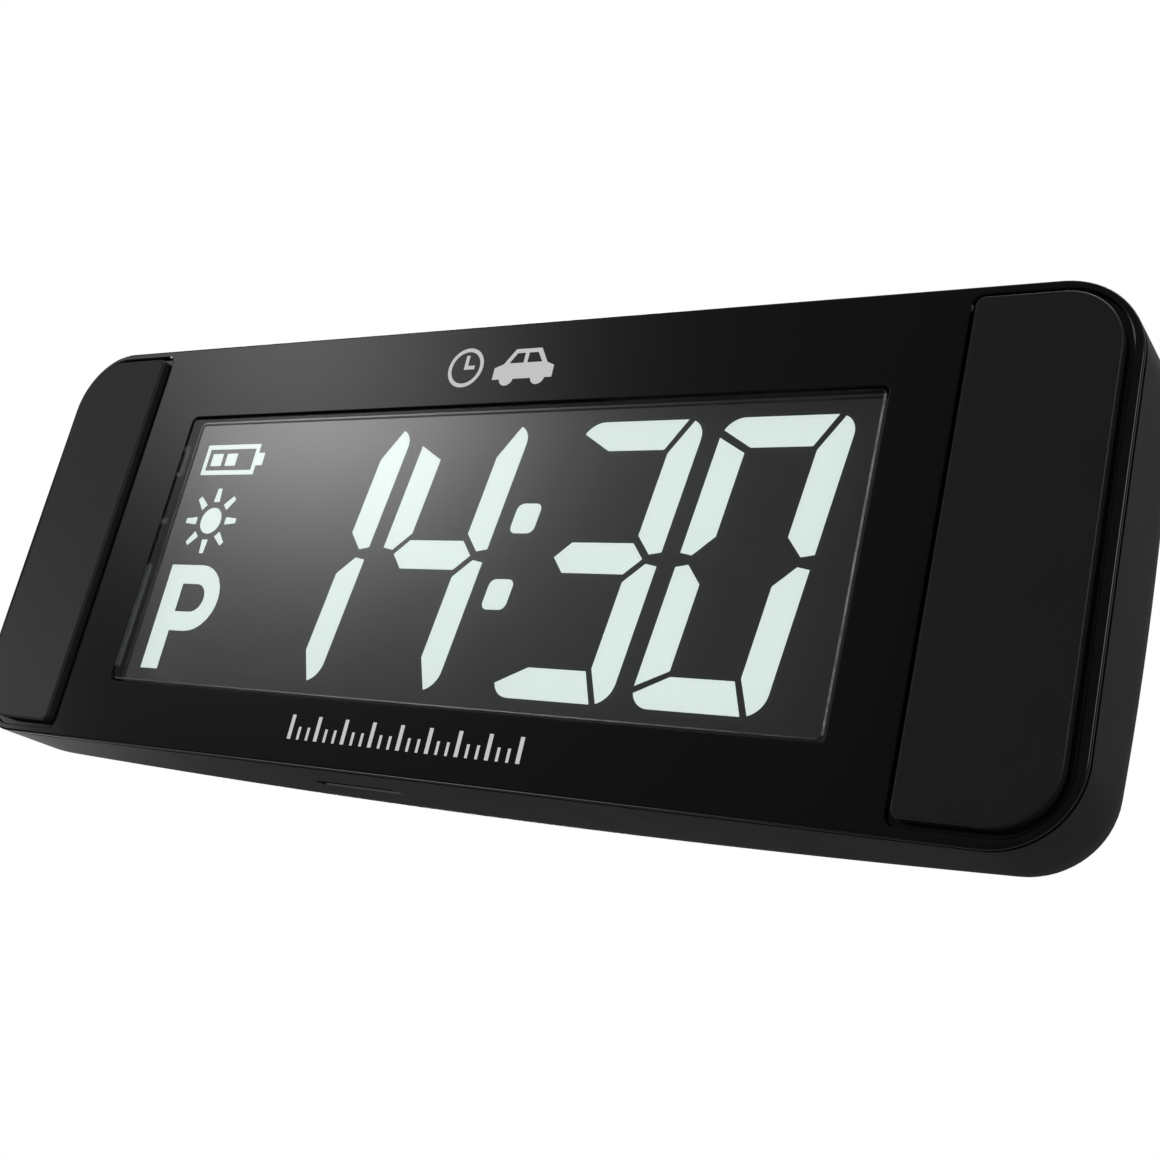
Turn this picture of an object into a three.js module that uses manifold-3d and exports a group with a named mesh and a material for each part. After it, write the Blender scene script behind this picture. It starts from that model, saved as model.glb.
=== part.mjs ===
// Electronic windscreen parking disc: a slim case with a large segment display, held to the glass by two
// pads. Millimetres. +Z is up and the display faces -Y. The origin is the centre of the plane of the two
// pads' faces, where the glass is, and every depth is measured rearwards from it along +Y.
import * as THREE from "three";
import { mergeVertices } from "three/addons/utils/BufferGeometryUtils.js";
import Module from "manifold-3d";

const wasm = await Module();
wasm.setup();

// ---- Driving dimensions ----

const CASE = { width: 98, height: 36.5, corner: 5.6, wall: 1.6 };
const FACE_Y = 0.57; // the pads stand this far proud of the cover's face
const DOME = { apexY: 17.8, radiusX: 239, radiusZ: 77.5 }; // the bowed back
const EDGE = { depth: 5, inset: 2.5 }; // the rear shell's elliptical rounding, along Y and inwards

const COVER = { lip: 0.4, groove: 0.3, grooveInset: 0.5, plate: 1.2, skirtEnd: 4.5, skirtWall: 1, fit: 0.15 };
const WINDOW = { width: 65.5, height: 24.4, corner: 0.6, x: 0.28, z: -0.83 };
const LENS = { gap: 0.2, flange: 1.2, flangeThickness: 0.37, seat: 0.03 };
const PAD = { innerX: 38.1, outerX: 47.83, halfHeight: 17.16, outerCorner: 4.1, innerCorner: 0.6 };
const RECESS = { gap: 0.48, depth: 0.35, backing: 0.2 };
const SINK = 0.5; // how far a joined piece is sunk into the piece that carries it
const THROUGH = 20; // beyond the back, for cuts that go right through

const FRAME = { halfWidth: 36.8, halfHeight: 15.2, gap: 0.2 };
const LCD = { width: 70, bottomZ: -14.2, topZ: 13.8, y: 2.22, glass: 1.1, ledge: 2.2, bond: 0.02 };
const PCB = { y: 6, thickness: 1, halfWidth: 41.6, halfHeight: 15.2, corner: 1 };
const PCB_SCREW = { x: 39.4, bossRadius: 1.9, shankRadius: 0.7, tipY: 3, headRadius: 1.4, headHeight: 0.9 };
const ZEBRA = { halfLength: 31, edge: 0.3 };
const CHIPS = { x: 23, mainSize: 7, mainHeight: 1.4, sensorZ: -9, sensorSize: 3, sensorHeight: 1 };
const CRYSTAL = { x: 22.7, z: 9, radius: 1.05, length: 7 };

const DOOR = { x: -8, width: 50, height: 25, corner: 2, thickness: 1.4, gap: 0.2, bottomGap: 0.4 };
const BAY = { wall: 1.2, ledge: 1, frontY: 9 };
const HOOK = { offset: 15, width: 6, reach: 1.3, root: 2, thickness: 1, drop: 1.9, clearance: 0.4 };
const LATCH = { width: 9, drop: 2.6, wall: 0.9, inset: 0.25, clearance: 0.3, seatDrop: 5 };
const CELL = { radius: 10, height: 3.2, pitch: 23.8, y: 9.6, capRadius: 8.6, capHeight: 0.35 };
const HOLDER = { width: 22.8, height: 22.4, pocketGap: 0.15, pocketY: 9.3, topY: 11.4, slotHalf: 3.2 };
const LEAF = { halfLength: 7, halfWidth: 2 }; // the contact under a cell
const CLIP = { halfWidth: 2.5, gap: 0.05, thickness: 0.3, foot: 0.6 }; // the contact against a cell's rim

const BUTTON = { x: 30, pitch: 8.5, radius: 3.2, gap: 0.2, proud: 0.5, crown: 0.5, baseY: 11.8 };
const BUTTON_FLANGE = { radius: 3.9, thickness: 0.5 };
const SWITCH = { size: 6, topY: 11.1, wellRadius: 1.8, wellY: 8.7, plungerRadius: 1.7, plungerY: 9.4 };
const SCREW = { x: 44.5, z: 12.8, shankRadius: 0.95, headRadius: 2, headHeight: 1.3, seatY: 10.3, tipY: 3.4 };
const SCREW_CROSS = { long: 1.2, short: 0.28, depth: 0.7 };
const SCREW_BOSS = { radius: 2.2, pilotRadius: 1, endY: 6 }; // on the front cover
const SCREW_TUBE = { radius: 2.6, shankHole: 1.15, boreRadius: 2.25 }; // in the rear cover
const PULL_SLOT = { x: -7.6, length: 8.2, height: 1, y: 6.27 };

const TOUCH = 0.02; // clearance between pieces that rest on each other
const PCB_BACK = PCB.y + PCB.thickness;
const COVER_BACK = FACE_Y + COVER.plate;
const SEAM_Y = FACE_Y + COVER.lip + COVER.groove;

// ---- Materials ----

const finish = (color, roughness, metalness = 0) =>
  new THREE.MeshStandardMaterial({ color, roughness, metalness });
const glossBlack = finish(0x0b0b0c, 0.12);
const satinBlack = finish(0x1c1d1f, 0.45);
const matteBlack = finish(0x131314, 0.7);
const padRubber = finish(0x2a2b2d, 0.85);
const clearLens = finish(0x202224, 0.05);
const lcdGlass = finish(0x2c2c2e, 0.2);
const whitePlastic = finish(0xe6e8e4, 0.6);
const zebraRubber = finish(0x3a3636, 0.8);
const boardGreen = finish(0x14402a, 0.5);
const chipBlack = finish(0x17181a, 0.55);
const steel = finish(0xb9bcc0, 0.3, 1);
const blackSteel = finish(0x2b2c2e, 0.4, 1);
const nickel = finish(0xc9c6bd, 0.28, 1);

// ---- Shape helpers ----

// A rounded rectangle's points in the XZ plane, anticlockwise from the front. Each straight side is divided
// into steps, so that a ring of them can follow the bowed back.
function ring(width, height, corner, sideSteps = [1, 1], cornerSteps = 6) {
  const points = [];
  const centreX = width / 2 - corner;
  const centreZ = height / 2 - corner;
  const signs = [[1, -1], [1, 1], [-1, 1], [-1, -1]];
  signs.forEach(([sx, sz], quarter) => {
    const start = (quarter - 1) * (Math.PI / 2);
    for (let i = 0; i <= cornerSteps; i++) {
      const angle = start + (i / cornerSteps) * (Math.PI / 2);
      points.push([sx * centreX + corner * Math.cos(angle), sz * centreZ + corner * Math.sin(angle)]);
    }
    const [ax, az] = points[points.length - 1];
    const [nx, nz] = signs[(quarter + 1) % 4];
    const end = quarter * (Math.PI / 2);
    const bx = nx * centreX + corner * Math.cos(end);
    const bz = nz * centreZ + corner * Math.sin(end);
    const steps = sideSteps[(quarter + 1) % 2];
    for (let i = 1; i < steps; i++) {
      points.push([ax + ((bx - ax) * i) / steps, az + ((bz - az) * i) / steps]);
    }
  });
  return points;
}

// A prism between two depths from a closed outline in the XZ plane.
function prism(outline, fromY, toY) {
  const shape = new THREE.Shape(outline.map(([x, z]) => new THREE.Vector2(x, z)));
  const geometry = new THREE.ExtrudeGeometry(shape, { depth: toY - fromY, bevelEnabled: false });
  return solid(geometry.rotateX(Math.PI / 2).translate(0, toY, 0));
}

const moved = (outline, dx, dz) => outline.map(([x, z]) => [x + dx, z + dz]);

const roundedPlate = (width, height, corner, fromY, toY, x = 0, z = 0) =>
  prism(moved(ring(width, height, corner), x, z), fromY, toY);

function block(fromX, toX, fromY, toY, fromZ, toZ) {
  const geometry = new THREE.BoxGeometry(toX - fromX, toY - fromY, toZ - fromZ);
  return solid(geometry.translate((fromX + toX) / 2, (fromY + toY) / 2, (fromZ + toZ) / 2));
}

// A cylinder along Y.
function rod(radius, fromY, toY, x, z, sides = 24) {
  const geometry = new THREE.CylinderGeometry(radius, radius, toY - fromY, sides);
  return solid(geometry.translate(x, (fromY + toY) / 2, z));
}

// A closed three.js geometry as a manifold solid, for joining and cutting.
function solid(geometry) {
  const bare = geometry.index ? geometry.toNonIndexed() : geometry;
  bare.deleteAttribute("normal");
  bare.deleteAttribute("uv");
  const merged = mergeVertices(bare, 1e-4);
  return new wasm.Manifold(
    new wasm.Mesh({
      numProp: 3,
      vertProperties: merged.attributes.position.array,
      triVerts: new Uint32Array(merged.index.array),
    }),
  );
}

const join = (...solids) => solids.reduce((whole, piece) => whole.add(piece));
const cut = (body, ...tools) => tools.reduce((whole, tool) => whole.subtract(tool), body);

function geometryOf(body) {
  const mesh = body.getMesh();
  const positions = new Float32Array(mesh.numVert * 3);
  for (let i = 0; i < mesh.numVert; i++) {
    positions.set(mesh.vertProperties.subarray(i * mesh.numProp, i * mesh.numProp + 3), i * 3);
  }
  const geometry = new THREE.BufferGeometry();
  geometry.setAttribute("position", new THREE.BufferAttribute(positions, 3));
  geometry.setIndex(new THREE.BufferAttribute(mesh.triVerts, 1));
  geometry.computeVertexNormals();
  return geometry;
}

const clock = new THREE.Group();

function add(name, body, material) {
  const mesh = new THREE.Mesh(geometryOf(body), material);
  mesh.name = name;
  clock.add(mesh);
}

// ---- The bowed back ----

// Depth of the back's outer surface, before its edge rounding.
const domeY = (x, z) => DOME.apexY - (x * x) / (2 * DOME.radiusX) - (z * z) / (2 * DOME.radiusZ);

// The case's rear form, inset all round and lowered by drop: straight sides, an elliptical edge and the dome.
function pillow(inset, drop, fromY) {
  const edgeSteps = 4;
  const sideSteps = [9, 4];
  const cornerSteps = 5;
  const domeRings = 4;
  const outlineAt = (extra) => {
    const all = 2 * (inset + extra);
    const corner = CASE.corner - inset - extra;
    return ring(CASE.width - all, CASE.height - all, corner, sideSteps, cornerSteps);
  };
  const rings = [outlineAt(0).map(([x, z]) => [x, fromY, z])];
  for (let i = 0; i <= edgeSteps; i++) {
    const angle = (i / edgeSteps) * (Math.PI / 2);
    const fall = EDGE.depth * (1 - Math.sin(angle)) + drop;
    rings.push(outlineAt(EDGE.inset * (1 - Math.cos(angle))).map(([x, z]) => [x, domeY(x, z) - fall, z]));
  }
  const last = rings[rings.length - 1];
  for (let i = 1; i < domeRings; i++) {
    const scale = 1 - i / domeRings;
    rings.push(last.map(([x, , z]) => [x * scale, domeY(x * scale, z * scale) - drop, z * scale]));
  }

  const count = last.length;
  const corners = [];
  const face = (...points) => points.forEach((point) => corners.push(...point));
  for (let i = 0; i + 1 < rings.length; i++) {
    for (let j = 0; j < count; j++) {
      const next = (j + 1) % count;
      face(rings[i][j], rings[i + 1][j], rings[i + 1][next]);
      face(rings[i][j], rings[i + 1][next], rings[i][next]);
    }
  }
  const inner = rings[rings.length - 1];
  for (let j = 0; j < count; j++) {
    const next = (j + 1) % count;
    face([0, fromY, 0], rings[0][j], rings[0][next]);
    face([0, domeY(0, 0) - drop, 0], inner[next], inner[j]);
  }
  const geometry = new THREE.BufferGeometry();
  geometry.setAttribute("position", new THREE.BufferAttribute(new Float32Array(corners), 3));
  return solid(geometry);
}

// ---- Front cover, lens and pads ----

const lipPlate = (inset, fromY, toY) =>
  roundedPlate(CASE.width - 2 * inset, CASE.height - 2 * inset, CASE.corner - inset, fromY, toY);

// A pad's outline: small corners towards the display, large ones that follow the case's corners.
function padOutline(side, grow) {
  const points = [];
  const corners = [
    { x: PAD.innerX - grow, z: -1, r: PAD.innerCorner + grow / 2, inner: true },
    { x: PAD.outerX + grow, z: -1, r: PAD.outerCorner + grow, inner: false },
    { x: PAD.outerX + grow, z: 1, r: PAD.outerCorner + grow, inner: false },
    { x: PAD.innerX - grow, z: 1, r: PAD.innerCorner + grow / 2, inner: true },
  ];
  corners.forEach(({ x, z, r, inner }, quarter) => {
    const centreX = inner ? x + r : x - r;
    const centreZ = z * (PAD.halfHeight + grow - r);
    const steps = inner ? 4 : 8;
    for (let i = 0; i <= steps; i++) {
      const angle = Math.PI + (quarter + i / steps) * (Math.PI / 2);
      points.push([side * (centreX + r * Math.cos(angle)), centreZ + r * Math.sin(angle)]);
    }
  });
  return side > 0 ? points : points.reverse();
}

const skirtInset = CASE.wall + COVER.fit;
const innerInset = skirtInset + COVER.skirtWall;
const recessFloor = FACE_Y + RECESS.depth;
const backingEnd = COVER_BACK + RECESS.backing;
const cornerScrews = [-1, 1].flatMap((sx) => [-1, 1].map((sz) => [sx * SCREW.x, sz * SCREW.z]));

// The thicker floor behind a pad's recess.
function padBacking(side) {
  const nearX = PAD.innerX - RECESS.gap - 0.2;
  const farX = CASE.width / 2;
  const x = (side * (nearX + farX)) / 2;
  const strip = roundedPlate(farX - nearX, CASE.height, 0.1, COVER_BACK - SINK, backingEnd, x);
  return strip.intersect(lipPlate(innerInset - 0.2, COVER_BACK - SINK, backingEnd));
}

function frontCover() {
  let cover = join(
    lipPlate(0, FACE_Y, FACE_Y + COVER.lip),
    lipPlate(COVER.grooveInset, FACE_Y, SEAM_Y),
    lipPlate(skirtInset, FACE_Y, COVER.skirtEnd),
  );
  cover = cut(cover, lipPlate(innerInset, COVER_BACK, THROUGH));
  cover = join(cover, padBacking(-1), padBacking(1));
  for (const [x, z] of cornerScrews) {
    cover = join(cover, rod(SCREW_BOSS.radius, COVER_BACK - SINK, SCREW_BOSS.endY, x, z));
    cover = cut(cover, rod(SCREW_BOSS.pilotRadius, backingEnd + 0.3, THROUGH, x, z, 16));
  }
  for (const side of [-1, 1]) {
    cover = join(cover, rod(PCB_SCREW.bossRadius, COVER_BACK - SINK, PCB.y - TOUCH, side * PCB_SCREW.x, 0));
    cover = cut(cover, rod(PCB_SCREW.shankRadius + 0.05, backingEnd, THROUGH, side * PCB_SCREW.x, 0, 16));
    cover = cut(cover, prism(padOutline(side, RECESS.gap), -1, recessFloor));
  }
  const { width, height, corner, x, z } = WINDOW;
  return cut(cover, roundedPlate(width, height, corner, -1, THROUGH, x, z));
}

function displayLens() {
  const plugEnd = COVER_BACK + LENS.seat;
  const { width, height, corner, x, z } = WINDOW;
  const layer = (grow, fromY, toY) =>
    roundedPlate(width + 2 * grow, height + 2 * grow, corner + grow, fromY, toY, x, z);
  return join(layer(-LENS.gap, FACE_Y, plugEnd), layer(LENS.flange, plugEnd, plugEnd + LENS.flangeThickness));
}

add("front_cover", frontCover(), glossBlack);
add("display_lens", displayLens(), clearLens);
for (const [side, name] of [[-1, "left"], [1, "right"]]) {
  add("mounting_pad_" + name, prism(padOutline(side, 0), 0, recessFloor - TOUCH), padRubber);
}

// ---- Display stack ----

const rearGlassY = LCD.y + LCD.glass + LCD.bond;
const reflectorY = rearGlassY + LCD.glass + LCD.bond;
const lcdHalf = LCD.width / 2;
const lcdBlock = (fromY, toY, topZ) =>
  block(WINDOW.x - lcdHalf, WINDOW.x + lcdHalf, fromY, toY, LCD.bottomZ, topZ);
const rearGlassTop = LCD.topZ - LCD.ledge;

function lcdFrame() {
  const { halfWidth, halfHeight, gap } = FRAME;
  const fromX = WINDOW.x - halfWidth;
  const toX = WINDOW.x + halfWidth;
  const body = block(fromX, toX, COVER_BACK + TOUCH, PCB.y - TOUCH, -halfHeight, halfHeight);
  const holeHalf = lcdHalf + gap;
  return cut(
    body,
    block(WINDOW.x - holeHalf, WINDOW.x + holeHalf, 0, THROUGH, LCD.bottomZ - gap, LCD.topZ + gap),
  );
}

// The rubber contact strip that joins the front glass's bare ledge to the board.
function zebraStrip() {
  const fromX = WINDOW.x - ZEBRA.halfLength;
  const toX = WINDOW.x + ZEBRA.halfLength;
  return block(fromX, toX, rearGlassY, PCB.y - TOUCH, rearGlassTop + ZEBRA.edge, LCD.topZ - ZEBRA.edge);
}

add("lcd_front_glass", lcdBlock(LCD.y, LCD.y + LCD.glass, LCD.topZ), lcdGlass);
add("lcd_rear_glass", lcdBlock(rearGlassY, rearGlassY + LCD.glass, rearGlassTop), lcdGlass);
add("reflector_plate", lcdBlock(reflectorY, PCB.y - TOUCH, rearGlassTop), whitePlastic);
add("lcd_frame", lcdFrame(), matteBlack);
add("zebra_strip", zebraStrip(), zebraRubber);

// ---- Circuit board ----

function mainBoard() {
  const plate = roundedPlate(2 * PCB.halfWidth, 2 * PCB.halfHeight, PCB.corner, PCB.y, PCB_BACK);
  const hole = (side) => rod(PCB_SCREW.shankRadius + 0.2, 0, THROUGH, side * PCB_SCREW.x, 0, 16);
  return cut(plate, hole(-1), hole(1));
}

const onBoard = PCB_BACK + TOUCH;
const chip = (x, z, size, height) =>
  block(x - size / 2, x + size / 2, onBoard, onBoard + height, z - size / 2, z + size / 2);

function clockCrystal() {
  const can = new THREE.CylinderGeometry(CRYSTAL.radius, CRYSTAL.radius, CRYSTAL.length, 20);
  return solid(can.rotateZ(Math.PI / 2).translate(CRYSTAL.x, onBoard + CRYSTAL.radius, CRYSTAL.z));
}

function pcbScrew(side) {
  const x = side * PCB_SCREW.x;
  return join(
    rod(PCB_SCREW.shankRadius, PCB_SCREW.tipY, onBoard + 0.1, x, 0, 16),
    rod(PCB_SCREW.headRadius, onBoard, onBoard + PCB_SCREW.headHeight, x, 0),
  );
}

add("main_pcb", mainBoard(), boardGreen);
add("microcontroller", chip(CHIPS.x, 0, CHIPS.mainSize, CHIPS.mainHeight), chipBlack);
add("motion_sensor", chip(CHIPS.x, CHIPS.sensorZ, CHIPS.sensorSize, CHIPS.sensorHeight), chipBlack);
add("clock_crystal", clockCrystal(), nickel);
add("pcb_screw_left", pcbScrew(-1), steel);
add("pcb_screw_right", pcbScrew(1), steel);

// ---- Coin cells, holders and contacts ----

const cellX = (side) => DOOR.x + (side * CELL.pitch) / 2;

// A tray with a round pocket and a slot across it, for a fingernail above and the clip below.
function cellHolder(x) {
  const half = { x: HOLDER.width / 2, z: HOLDER.height / 2 };
  const body = block(x - half.x, x + half.x, onBoard, HOLDER.topY, -half.z, half.z);
  const { pocketY, slotHalf } = HOLDER;
  return cut(
    body,
    rod(CELL.radius + HOLDER.pocketGap, pocketY, THROUGH, x, 0, 48),
    block(x - slotHalf, x + slotHalf, pocketY, THROUGH, -half.z - 1, half.z + 1),
  );
}

// The can, with the smaller negative cap under it.
const coinCell = (x) =>
  join(
    rod(CELL.radius, CELL.y + CELL.capHeight, CELL.y + CELL.height, x, 0, 48),
    rod(CELL.capRadius, CELL.y, CELL.y + CELL.capHeight + 0.1, x, 0, 48),
  );

const leafY = HOLDER.pocketY + TOUCH;
const negativeContact = (x) =>
  block(x - LEAF.halfLength, x + LEAF.halfLength, leafY, CELL.y - TOUCH, -LEAF.halfWidth, LEAF.halfWidth);

// The upright clip against the cell's rim, in the holder's lower slot.
function positiveContact(x) {
  const { halfWidth, gap, thickness, foot } = CLIP;
  const inner = -CELL.radius - gap;
  const outer = inner - thickness;
  return join(
    block(x - halfWidth, x + halfWidth, leafY, CELL.y + CELL.height - 0.4, outer, inner),
    block(x - halfWidth, x + halfWidth, leafY, leafY + thickness, outer - foot, inner),
  );
}

for (const [side, name] of [[-1, "left"], [1, "right"]]) {
  const x = cellX(side);
  add("cell_holder_" + name, cellHolder(x), matteBlack);
  add("coin_cell_" + name, coinCell(x), nickel);
  add("negative_contact_" + name, negativeContact(x), nickel);
  add("positive_contact_" + name, positiveContact(x), nickel);
}

// ---- Buttons and their switches ----

const buttons = ["hour", "minute", "set"].map((name, row) => ({ name, z: (1 - row) * BUTTON.pitch }));

function switchBase(z) {
  const half = SWITCH.size / 2;
  const body = block(BUTTON.x - half, BUTTON.x + half, onBoard, SWITCH.topY, z - half, z + half);
  return cut(body, rod(SWITCH.wellRadius, SWITCH.wellY, SWITCH.topY + 1, BUTTON.x, z, 20));
}

// A cap with a retaining flange inside the case and a shallow domed top.
function buttonCap(z) {
  const { radius, crown, baseY } = BUTTON;
  const flangeY = baseY + BUTTON_FLANGE.thickness;
  const topY = domeY(BUTTON.x, z) + BUTTON.proud;
  const profile = [
    [0, baseY],
    [BUTTON_FLANGE.radius, baseY],
    [BUTTON_FLANGE.radius, flangeY],
    [radius, flangeY],
    [radius, topY - crown],
    [radius - 0.25, topY - crown / 2],
    [radius - 0.9, topY - crown / 6],
    [0, topY],
  ];
  const points = profile.map(([r, y]) => new THREE.Vector2(r, y));
  return solid(new THREE.LatheGeometry(points, 32).translate(BUTTON.x, 0, z));
}

const switchPlunger = (z) => rod(SWITCH.plungerRadius, SWITCH.plungerY, BUTTON.baseY - TOUCH, BUTTON.x, z);

for (const { name, z } of buttons) {
  add("switch_base_" + name, switchBase(z), chipBlack);
  add("switch_plunger_" + name, switchPlunger(z), matteBlack);
  add("button_" + name, buttonCap(z), satinBlack);
}

// ---- Rear cover, battery door and case screws ----

const doorTop = DOOR.height / 2;
const hookX = (side) => DOOR.x + side * HOOK.offset;
// The back's lowest surface over a hook's width, so that its finger clears the skin above it everywhere.
const hookSurface = (side) =>
  Math.min(domeY(hookX(side) - HOOK.width / 2, doorTop), domeY(hookX(side) + HOOK.width / 2, doorTop));

// The opening that the door fills, as deep as its skin, with a through hole inside its ledge.
function doorOpening() {
  const { x, width, height, corner, gap, bottomGap, thickness } = DOOR;
  const outline = ring(width + 2 * gap, height + gap + bottomGap, corner);
  const seat = prism(moved(outline, x, (gap - bottomGap) / 2), BAY.frontY, THROUGH);
  const belowSkin = pillow(0, thickness + 0.05, 0);
  const ledge = 2 * BAY.ledge;
  const through = roundedPlate(width - ledge, height - ledge, corner / 2, 0, THROUGH, x);
  return join(cut(seat, belowSkin), through);
}

// The slot in the bay's upper wall that a door hook turns in.
function hookSlot(side) {
  const half = HOOK.width / 2 + HOOK.clearance;
  const x = hookX(side);
  const surface = hookSurface(side);
  const deepY = surface - HOOK.drop - HOOK.thickness - 2 * HOOK.clearance;
  const shallowY = surface - CASE.wall - 0.05;
  return block(x - half, x + half, deepY, shallowY, doorTop - HOOK.root - 1, doorTop + 2.2);
}

// The notch in the bay's lower wall for the door's latch.
function latchSeat() {
  const half = LATCH.width / 2 + LATCH.clearance;
  const surface = domeY(DOOR.x, doorTop);
  const deepY = surface - LATCH.seatDrop;
  return block(DOOR.x - half, DOOR.x + half, deepY, surface - 1, -doorTop - 0.5, -doorTop + 2);
}

function pullSlot() {
  const { x, length, height, y } = PULL_SLOT;
  const outside = -CASE.height / 2;
  const reach = CASE.wall + 0.5;
  return block(x - length / 2, x + length / 2, y - height / 2, y + height / 2, outside - 1, outside + reach);
}

function rearCover() {
  const shell = cut(pillow(0, 0, SEAM_Y + TOUCH), pillow(CASE.wall, CASE.wall, 0));
  const bayWidth = DOOR.width + 2 * BAY.wall;
  const bayHeight = DOOR.height + 2 * BAY.wall;
  const bay = roundedPlate(bayWidth, bayHeight, DOOR.corner + BAY.wall, BAY.frontY, THROUGH, DOOR.x);
  const tubeY = SCREW_BOSS.endY + 0.05;
  const tubes = cornerScrews.map(([x, z]) => rod(SCREW_TUBE.radius, tubeY, THROUGH, x, z));
  const inside = join(bay, ...tubes).intersect(pillow(CASE.wall / 2, CASE.wall / 2, 0));

  const buttonHoles = buttons.map(({ z }) => rod(BUTTON.radius + BUTTON.gap, 8, THROUGH, BUTTON.x, z, 32));
  const screwHoles = cornerScrews.flatMap(([x, z]) => [
    rod(SCREW_TUBE.shankHole, 0, THROUGH, x, z, 20),
    rod(SCREW_TUBE.boreRadius, SCREW.seatY, THROUGH, x, z),
  ]);
  const openings = [doorOpening(), hookSlot(-1), hookSlot(1), latchSeat(), pullSlot()];
  return cut(join(shell, inside), ...openings, ...buttonHoles, ...screwHoles);
}

// A hook of the door: a root under the skin and a finger that reaches behind the bay's upper edge.
function doorHook(side) {
  const half = HOOK.width / 2;
  const x = hookX(side);
  const surface = hookSurface(side);
  const lowY = surface - HOOK.drop - HOOK.thickness;
  const rootZ = doorTop - HOOK.root;
  return join(
    block(x - half, x + half, lowY, surface - DOOR.thickness / 2, rootZ, rootZ + 0.7),
    block(x - half, x + half, lowY, surface - HOOK.drop, rootZ, doorTop + HOOK.reach),
  );
}

// A short springy tongue under the door's lower edge.
function doorLatch() {
  const half = LATCH.width / 2;
  const surface = domeY(DOOR.x, doorTop);
  const z = -doorTop + LATCH.inset;
  const lowY = surface - DOOR.thickness - LATCH.drop;
  return block(DOOR.x - half, DOOR.x + half, lowY, surface - DOOR.thickness / 2, z, z + LATCH.wall);
}

function batteryDoor() {
  const blank = roundedPlate(DOOR.width, DOOR.height, DOOR.corner, BAY.frontY, THROUGH, DOOR.x);
  const skin = cut(blank.intersect(pillow(0, 0, 0)), pillow(0, DOOR.thickness, 0));
  return join(skin, doorHook(-1), doorHook(1), doorLatch());
}

function caseScrew(x, z) {
  const seatY = SCREW.seatY + TOUCH;
  const headTop = seatY + SCREW.headHeight;
  const shank = rod(SCREW.shankRadius, SCREW.tipY, seatY + SINK, x, z, 16);
  const head = rod(SCREW.headRadius, seatY, headTop, x, z);
  const { long, short, depth } = SCREW_CROSS;
  const arm = (halfX, halfZ) => block(x - halfX, x + halfX, headTop - depth, THROUGH, z - halfZ, z + halfZ);
  return cut(join(shank, head), arm(long, short), arm(short, long));
}

add("rear_cover", rearCover(), satinBlack);
add("battery_door", batteryDoor(), satinBlack);
for (const [x, z] of cornerScrews) {
  const name = "case_screw_" + (x < 0 ? "left" : "right") + (z < 0 ? "_lower" : "_upper");
  add(name, caseScrew(x, z), blackSteel);
}

export default clock;
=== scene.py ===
"""Looks of the electronic windscreen parking disc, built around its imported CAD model.

Lengths are in millimetres in the part's frame: +Z is up, the display faces -Y and the windscreen's inner face
lies at y = 0.
"""

import math

import bmesh
import bpy
from mathutils import Matrix, Vector


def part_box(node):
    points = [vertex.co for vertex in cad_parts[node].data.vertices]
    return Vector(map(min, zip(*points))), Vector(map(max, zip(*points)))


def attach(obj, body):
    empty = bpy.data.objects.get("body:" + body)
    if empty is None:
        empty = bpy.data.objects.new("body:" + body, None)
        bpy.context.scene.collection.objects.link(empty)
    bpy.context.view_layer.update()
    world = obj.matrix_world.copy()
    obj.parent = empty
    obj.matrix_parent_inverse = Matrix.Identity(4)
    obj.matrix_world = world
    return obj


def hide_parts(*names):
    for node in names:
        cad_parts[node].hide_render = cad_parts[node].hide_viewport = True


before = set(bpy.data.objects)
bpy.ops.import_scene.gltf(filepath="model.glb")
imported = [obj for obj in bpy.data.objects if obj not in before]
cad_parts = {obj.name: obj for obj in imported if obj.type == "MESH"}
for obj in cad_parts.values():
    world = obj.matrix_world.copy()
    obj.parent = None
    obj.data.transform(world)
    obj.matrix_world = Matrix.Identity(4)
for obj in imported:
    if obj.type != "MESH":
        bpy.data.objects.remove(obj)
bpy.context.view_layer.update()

MM = 0.001
SCENE = bpy.context.scene


def mm_box(node):
    """The lowest and highest corners of a CAD node in millimetres."""
    low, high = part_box(node)
    return Vector(low) / MM, Vector(high) / MM


# ---- Driving dimensions ----

COVER_LOW, COVER_HIGH = mm_box("front_cover")
CASE_HALF_X, CASE_HALF_Z = COVER_HIGH.x, COVER_HIGH.z
FACE_Y = COVER_LOW.y
CASE_CORNER = 5.6
CASE_WALL = 1.6
SEAM_Y = mm_box("rear_cover")[0].y
DOME_APEX = 17.8
DOME_RADIUS_X = 239
DOME_RADIUS_Z = 77.5
EDGE_DEPTH = 5
EDGE_INSET = 2.5

LENS_LOW, LENS_HIGH = mm_box("display_lens")
LENS_GAP = 0.2
LENS_FLANGE = 1.2
LENS_X = (LENS_LOW.x + LENS_HIGH.x) / 2
LENS_Z = (LENS_LOW.z + LENS_HIGH.z) / 2
WINDOW_HALF_X = LENS_HIGH.x - LENS_X - LENS_FLANGE
WINDOW_HALF_Z = LENS_HIGH.z - LENS_Z - LENS_FLANGE
WINDOW_CORNER = 0.6

FILM_Y = FACE_Y + 0.6  # the mirroring film inside the lens

PAD_GAP = 0.48
PAD_FLOOR = FACE_Y + 0.35
DISPLAY_Y = mm_box("lcd_front_glass")[0].y

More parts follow.
